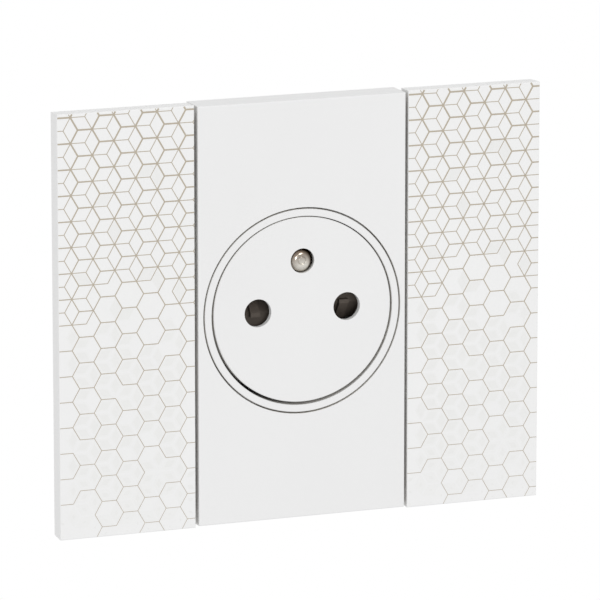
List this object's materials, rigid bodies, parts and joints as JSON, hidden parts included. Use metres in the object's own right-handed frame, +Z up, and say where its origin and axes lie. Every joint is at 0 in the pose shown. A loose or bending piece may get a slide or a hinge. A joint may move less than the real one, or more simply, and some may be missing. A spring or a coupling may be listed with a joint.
{
  "type": "flush wall socket",
  "caption": "Flush wall socket whose round front disc retracts into its well, with a rotary pin shutter, an earth pin, patterned side panels and a plain centre cover.",
  "frame": {"origin": "midway between the two box screw slots, on the wall plane, which is the back face of the support frame", "axes": "+X right, +Y into the wall, +Z up, as seen by someone facing the socket"},
  "size_m": [0.1026, 0.0383, 0.086],
  "materials": {
    "panel_plastic": "white moulded plastic, satin, with a printed hexagon pattern on the front",
    "cover_plastic": "white moulded plastic, satin",
    "body_plastic": "light grey moulded plastic, matte",
    "shutter_plastic": "dark warm grey moulded plastic, matte",
    "zinc_steel": "zinc-plated steel sheet",
    "spring_steel": "drawn spring wire",
    "contact_brass": "bare brass",
    "nickel": "nickel-plated, turned",
    "screw_steel": "zinc-plated steel"
  },
  "bodies": {
    "socket": {"decor_plate": "panel_plastic", "centre_cover": "cover_plastic", "support_frame": "zinc_steel", "well_housing": "cover_plastic", "return_spring": "spring_steel", "terminal_base": "body_plastic", "rear_cover": "body_plastic", "live_contact": "contact_brass", "neutral_contact": "contact_brass", "earth_pin": "nickel", "earth_strap": "contact_brass", "live_terminal": "contact_brass", "neutral_terminal": "contact_brass", "earth_terminal": "contact_brass", "terminal_screws": "screw_steel", "housing_screws": "screw_steel"},
    "disc": {"retracting_disc": "cover_plastic", "disc_backplate": "body_plastic", "shutter_spring": "spring_steel"},
    "shutter": {"shutter": "shutter_plastic"}
  },
  "joints": [
    {"name": "disc_slide", "type": "slide", "parent": "socket", "child": "disc", "axis": [0, 1, 0], "range_m": [0, 0.015], "stiffness_N_per_m": 400, "springref_m": -0.015, "deforming": ["return_spring"]},
    {"name": "shutter_turn", "type": "hinge", "parent": "disc", "child": "shutter", "pos_m": [0, 0, 0], "axis": [0, -1, 0], "range_deg": [0, 42], "stiffness_Nm_per_rad": 0.002, "springref_deg": -28.65, "deforming": ["shutter_spring"]}
  ]
}
